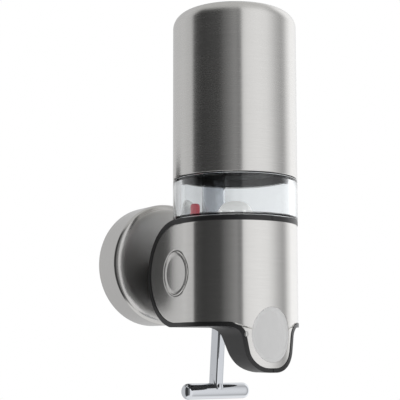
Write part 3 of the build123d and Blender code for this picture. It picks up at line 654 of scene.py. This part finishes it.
# ------------------------------------------------------------------ wall side
def make_plate():
    """Drum cover: rings from the neck's window out to the face's rim, over the edge and back along
    the side to the wall. The edge is two tangent arcs, easy by the face and tight by the side,
    which meet where the surface has turned to 62 degrees from the side."""
    count, meet = 240, 62
    gap, window_corner = 0.6 * MM, 2.0 * MM
    tight, easy = 2.6 * MM, 12.0 * MM
    radius = plate_hi.x
    front, back = plate_lo.y, plate_hi.y
    change = math.radians(meet)
    beta = np.radians(np.concatenate([np.linspace(90, meet, 10), np.linspace(meet, 0, 14)[1:]]))
    fall = tight * math.sin(change) + easy * (1 - math.sin(change))
    by_face = beta >= change
    inset = np.where(by_face, easy * (math.cos(change) - np.cos(beta)) + tight * (1 - math.cos(change)),
                     tight * (1 - np.cos(beta)))
    ahead = np.where(by_face, fall - easy * (1 - np.sin(beta)), tight * np.sin(beta))

    window = rounded_rectangle(NECK_WIDTH + 2 * gap, NECK_HEIGHT + 2 * gap, window_corner, count)
    angle = np.arctan2(window[:, 1], window[:, 0])
    rim = (radius - inset[0]) * points_of(np.cos(angle), np.sin(angle))
    face = rings_between(window + [0, BUTTON_Z], rim, 22)
    side_y = np.linspace(front + fall, back, 12)[1:]
    r = np.concatenate([radius - inset[1:], np.full(len(side_y), radius)])[:, None]
    y = np.concatenate([front + fall - ahead[1:], side_y])[:, None]
    grid = np.concatenate([points_of(face[..., 0], front, face[..., 1]),
                           points_of(r * np.cos(angle), y, r * np.sin(angle))])
    piece = ring_object("plate_drum", grid)
    sheet_wall(piece, 1.1 * MM)
    bevelled(piece, 0.25 * MM)
    finished(piece, "wall_mount", "brushed_skin", STEEL_PLATE, "wall_plate")


def make_neck():
    """Hollow arm: a rounded rectangle carried along Y, slimmer in the middle by a squared sine,
    with the section coming back inside itself from end to end."""
    flange, wall, slimmest = 2.5 * MM, 2.0 * MM, 0.9 * MM
    outer_corner, inner_corner, count = 4.0 * MM, 2.5 * MM, 160
    share = np.linspace(0, 1, 41)
    along = np.linspace(neck_lo.y + flange, neck_hi.y, len(share))
    waist = slimmest * np.sin(np.pi * np.clip((share - 0.12) / 0.60, 0, 1)) ** 2
    rings = []
    for y, slim in zip(along, waist):
        loop = rounded_rectangle(NECK_WIDTH - 2 * slim, NECK_HEIGHT - 2 * slim, outer_corner, count)
        rings.append(points_of(loop[:, 0], y, loop[:, 1] + BUTTON_Z))
    bore = rounded_rectangle(NECK_WIDTH - 2 * wall, NECK_HEIGHT - 2 * wall, inner_corner, count)
    rings += [points_of(bore[:, 0], y, bore[:, 1] + BUTTON_Z) for y in along[::-1]]
    piece = ring_object("neck_arm", np.array(rings), wrap_rows=True)
    bevelled(piece, 0.3 * MM, 2)
    finished(piece, "wall_mount", "dark_plastic", BLACK, "neck")


# ------------------------------------------------------------------ buttons
def make_button(side, way):
    """Round button, turned about X: a flat middle, an arc that climbs to a tilt of 14 degrees and a
    half round rim. The left one mirrors the right one."""
    tilt, rim, dish = 14, 0.6 * MM, 0.70 * MM
    flat, ramp_foot = BUTTON_R - 3.0 * MM, BUTTON_R - 1.25 * MM
    outer, inner = button_hi.x, button_lo.x
    climb = (ramp_foot - flat) / math.sin(math.radians(tilt))
    middle = points_of(np.linspace(0, flat, 16), outer - dish)
    ramp = arc((flat, outer - dish + climb), climb, -90, tilt - 90, 10)[1:]
    crown = arc((BUTTON_R - rim, outer - rim), rim, 170, 0, 15)
    back = [(BUTTON_R, inner), (0.0, inner)]
    profile = np.concatenate([middle, ramp, crown, back]) * [1, way]
    piece = revolve(f"button_{side}_dished", profile, (0, BUTTON_Y, BUTTON_Z), "X", closed=False)
    finished(piece, f"button_{side}", "brushed_skin", STEEL_BUTTON, f"release_button_{side}")


# ------------------------------------------------------------------ lever
def make_bar():
    """Pull bar: a rod along X. Each end is rounded over 4 mm, a little fuller than an ellipse: the
    radius goes with sin(t)^0.8 and the reach with cos(t)^0.9."""
    end = 4.0 * MM
    straight = bar_hi.x - end
    turn = np.radians(np.linspace(0, 90, 16))
    right = points_of(BAR_R * np.sin(turn) ** 0.8, straight + end * np.cos(turn) ** 0.9)
    middle = points_of(BAR_R, np.linspace(straight, -straight, 41)[1:-1])
    profile = np.concatenate([right, middle, right[::-1] * [1, -1]])
    piece = revolve("pull_bar_rod", profile, (0, BAR_Y, BAR_Z), "X", 96, False)
    finished(piece, "lever", "polished", CHROME, "pull_bar")


def make_foot():
    """The stem's foot: rounded sections that swell downwards along the stem and melt into the bar.
    Each section is a superellipse of exponent 2.6, and the last one, inside the bar, is narrower."""
    power, last, last_width = 2 / 2.6, 0.97, 0.8
    height, sink = 5.0 * MM, 1.0 * MM
    top, bottom = BAR_Z + BAR_R + height, BAR_Z + sink
    share = np.linspace(0, 1, 25)[:, None]
    swell = smooth_step(share)
    half_x = (2.62 + 0.8 * swell) * MM * np.where(share < last, 1.0, last_width)
    front = BAR_Y - (3.6 + 1.9 * swell) * MM
    rear = BAR_Y + (4.6 - 0.3 * swell) * MM
    t = np.linspace(0, 2 * np.pi, 48, endpoint=False)
    grid = points_of(half_x * soft(np.cos(t), power),
                     (front + rear) / 2 + (rear - front) / 2 * soft(np.sin(t), power),
                     top + (bottom - top) * share)
    ends = [np.broadcast_to(grid[i].mean(0), (1, *grid[i].shape)) for i in (0, -1)]
    piece = ring_object("stem_foot", np.concatenate([ends[0], grid, ends[1]]))
    finished(piece, "lever", "polished", CHROME)


def make_clip(side, way):
    """Tab that holds the skin to the chassis beside the pad: a superellipsoid with soft corners."""
    half_x, half_y, half_z, power = 1.15 * MM, 0.9 * MM, 1.5 * MM, 0.6
    x, z = way * 15.8 * MM, PAD_Z + 0.3 * MM
    y = BODY_Y - math.sqrt(BODY_R**2 - x**2)
    u = np.linspace(-np.pi / 2, np.pi / 2, 17)[:, None]
    v = np.linspace(0, 2 * np.pi, 33)[None, :-1]
    around = soft(np.cos(u), power)
    grid = points_of(x + half_x * around * soft(np.cos(v), power),
                     y + half_y * around * soft(np.sin(v), power), z + half_z * soft(np.sin(u), power))
    piece = ring_object(f"skin_clip_{side}", grid)
    finished(piece, "wall_mount", "plain_steel", ZINC)


make_cover()
make_jar()
make_ring()
make_shell()
make_pad()
make_plate()
make_neck()
for side, way in SIDES:
    make_button(side, way)
make_clip("left", -1)
make_bar()
make_foot()


# ------------------------------------------------------------------ studio
CAMERA_PLACE = (-0.36505, -0.63579, -0.05722)
CAMERA_YAW, CAMERA_PITCH, CAMERA_ROLL = -32.405, 6.079, 0.096
CAMERA_LENS, CAMERA_SHIFT_Y = 98.83, 0.09

# Light round the object, in degrees from the camera's side (positive to the camera's right),
# with the brightness that each direction sends to it.
ROUND = [
    (-180, 0.80), (-179.4, 0.80), (-179.0, 0.62), (-150, 0.62), (-110, 0.68), (-95, 0.62),
    (-84.5, 0.60), (-81, 0.07), (-60, 0.05), (-30, 0.065), (-26, 0.08), (-20, 0.14), (-8, 0.23),
    (2, 0.31), (9, 0.21), (12, 0.25), (14.5, 0.84), (24, 0.96), (45, 1.02), (62, 0.98), (72, 0.84),
    (84, 0.62), (97, 0.45), (104, 0.56), (110, 0.82), (125, 1.22), (145, 1.17), (160, 1.00), (179, 0.80),
]
COOL = 1.01  # a trace more blue than red and green in that light


def make_camera():
    """Long lens, a little below the middle of the body and looking slightly up."""
    data = bpy.data.cameras.new("camera")
    data.sensor_width = 36.0
    data.lens = CAMERA_LENS
    data.shift_y = CAMERA_SHIFT_Y
    data.clip_start, data.clip_end = 0.01, 50.0
    camera = bpy.data.objects.new("camera", data)
    camera.location = CAMERA_PLACE
    camera.rotation_mode = "XYZ"
    camera.rotation_euler = [math.radians(a) for a in (90 + CAMERA_PITCH, CAMERA_ROLL, CAMERA_YAW)]
    bpy.context.scene.collection.objects.link(camera)
    bpy.context.scene.camera = camera


def light_round(w, x, y):
    """Brightness by the direction round the object, as a colour ramp over a whole turn that has
    the camera's side in its middle."""
    dx, dy = CAMERA_PLACE[0], CAMERA_PLACE[1] - BODY_Y
    away = math.hypot(dx, dy)
    dx, dy = dx / away, dy / away
    toward = w.math("ADD", w.math("MULTIPLY", x, dx), w.math("MULTIPLY", y, dy))
    right = w.math("ADD", w.math("MULTIPLY", x, -dy), w.math("MULTIPLY", y, dx))
    turn = w.math("ARCTAN2", right, toward)
    ramp = w.node("ShaderNodeValToRGB")
    w.link(w.math("ADD", w.math("DIVIDE", turn, 2 * math.pi), 0.5), ramp.inputs[0])
    stops = ramp.color_ramp.elements
    stops.remove(stops[-1])
    for index, (degrees, level) in enumerate(ROUND):
        position = (degrees + 180) / 360
        stop = stops[0] if index == 0 else stops.new(position)
        stop.position = position
        stop.color = (level, level, level * COOL, 1.0)
    return ramp.outputs[0]


def make_world():
    """Soft studio: vertical panels and dark gaps round the object, a bright ceiling, white backdrop.

    The ceiling and the floor's light fade in by the height of the direction, and the ceiling is
    brighter on matt surfaces than in reflections."""
    world = bpy.data.worlds.new("studio")
    bpy.context.scene.world = world
    world.use_nodes = True
    w = Nodes(world.node_tree)
    x, y, z = w.split(w.node("ShaderNodeTexCoord").outputs["Generated"])
    path = w.node("ShaderNodeLightPath")
    ceiling = w.mix(path.outputs["Is Diffuse Ray"], (0.66, 0.66, 0.655), (1.7, 1.7, 1.7))
    room = w.mix(w.remap(z, 0.70, 0.86, 0.0, 1.0, True), light_round(w, x, y), ceiling)
    room = w.mix(w.remap(z, -0.72, -0.86, 0.0, 1.0, True), room, (0.95, 0.95, 0.95))
    seen = w.mix(path.outputs["Is Camera Ray"], room, (1.0, 1.0, 1.0))
    background = w.node("ShaderNodeBackground")
    w.link(seen, background.inputs[0])
    w.link(background.outputs[0], w.node("ShaderNodeOutputWorld").inputs[0])


def make_floor():
    """Plain pale floor, well below the object."""
    half, height = 1.8, CAD_BOX[0].z - 0.22
    corners = points_of([-half, half, half, -half], [-half, -half, half, half], height)
    floor = mesh_object("floor", corners, [(0, 1, 2, 3)], False)
    floor.data.materials.append(moulded("floor_paint", (0.93, 0.93, 0.93), 0.8, 0.02, 60.0, 0.01).material)
    floor.visible_glossy = False


def make_flag():
    """Dark card beside the left cheek, seen only in the steel: a rounded rectangle across Y."""
    left, right, low, high = -75 * MM, -42 * MM, -31 * MM, 60 * MM
    outline = rounded_rectangle(right - left, high - low, 9 * MM, 96)
    outline = outline + [(left + right) / 2, (low + high) / 2]
    card = points_of(outline[:, 0], plate_lo.y, outline[:, 1])
    flag = mesh_object("flag", card, [range(len(card))], False)
    paint = bpy.data.materials.new("flag_dark")
    paint.use_nodes = True
    n = Nodes(paint.node_tree)
    glow = n.node("ShaderNodeEmission")
    glow.inputs["Color"].default_value = (0.07, 0.07, 0.07, 1.0)
    n.link(glow.outputs[0], n.node("ShaderNodeOutputMaterial").inputs["Surface"])
    flag.data.materials.append(paint)
    flag.visible_camera = flag.visible_diffuse = flag.visible_shadow = flag.visible_transmission = False


make_camera()
make_world()
make_floor()
make_flag()
bpy.context.scene.view_settings.view_transform = "Standard"
